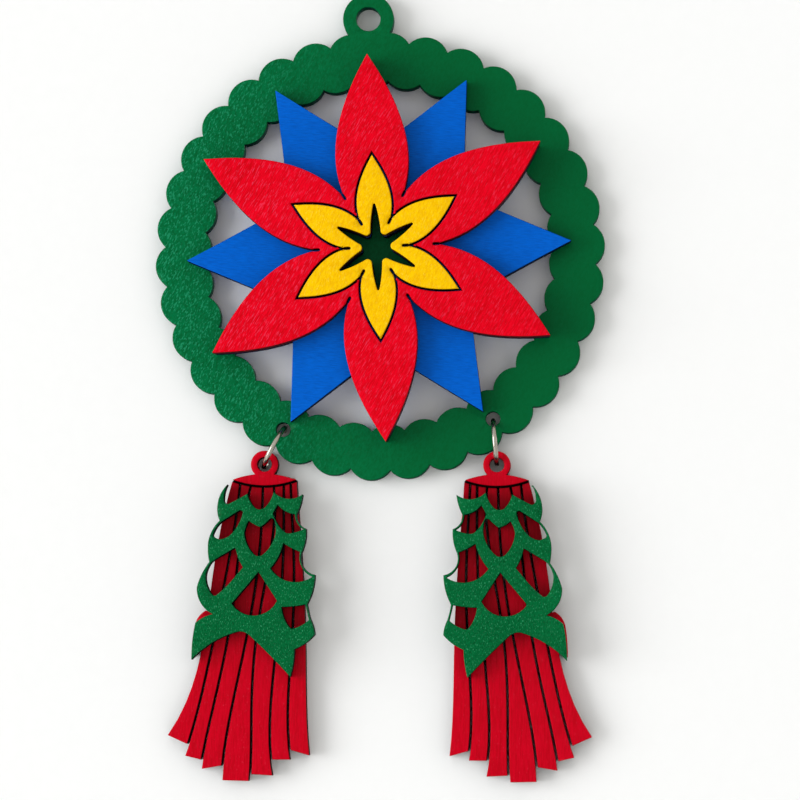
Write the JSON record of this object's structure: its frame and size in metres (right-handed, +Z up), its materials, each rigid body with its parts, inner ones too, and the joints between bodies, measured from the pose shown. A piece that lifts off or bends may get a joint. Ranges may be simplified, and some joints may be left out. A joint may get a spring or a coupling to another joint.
{
  "type": "parol star lantern",
  "caption": "Flat hanging parol ornament of layered painted plywood: scalloped green frame, blue star, red flower and yellow inlay, with red fringe tassels under green lattices on wire rings.",
  "frame": {"origin": "centre of the hanging hole, halfway through the frame plate", "axes": "+X to the right seen from the front, +Z up, and the front faces -Y"},
  "size_m": [0.0754, 0.0115, 0.1308],
  "materials": {
    "green_plywood": "brushed acrylic paint with a fine glitter, satin",
    "blue_plywood": "brushed acrylic paint, satin",
    "red_plywood": "brushed acrylic paint, satin",
    "yellow_plywood": "brushed acrylic paint, satin",
    "tassel_red_plywood": "brushed acrylic paint, satin",
    "nickel_wire": "nickel-plated steel wire"
  },
  "bodies": {
    "lantern": {"scalloped_frame": "green_plywood", "centre_disc": "green_plywood", "star_plate": "blue_plywood", "flower_plate": "red_plywood", "inlay_flower": "yellow_plywood"},
    "left_link": {"left_jump_ring": "nickel_wire"},
    "left_tassel": {"left_tassel_base": "tassel_red_plywood", "left_tassel_lattice": "green_plywood"},
    "right_link": {"right_jump_ring": "nickel_wire"},
    "right_tassel": {"right_tassel_base": "tassel_red_plywood", "right_tassel_lattice": "green_plywood"}
  },
  "joints": [
    {"name": "left_ring_swing", "type": "hinge", "parent": "lantern", "child": "left_link", "pos_m": [-0.01721, 0, -0.0671], "axis": [0, 1, 0], "range_deg": [-10, 10]},
    {"name": "left_tassel_swing", "type": "hinge", "parent": "left_link", "child": "left_tassel", "pos_m": [-0.02056, 0, -0.07267], "axis": [0, 1, 0], "range_deg": [-5, 15]},
    {"name": "right_ring_swing", "type": "hinge", "parent": "lantern", "child": "right_link", "pos_m": [0.01721, 0, -0.0671], "axis": [0, -1, 0], "range_deg": [0, 40]},
    {"name": "right_tassel_swing", "type": "hinge", "parent": "right_link", "child": "right_tassel", "pos_m": [0.01748, 0, -0.0747], "axis": [0, -1, 0], "range_deg": [-4, 15]}
  ]
}
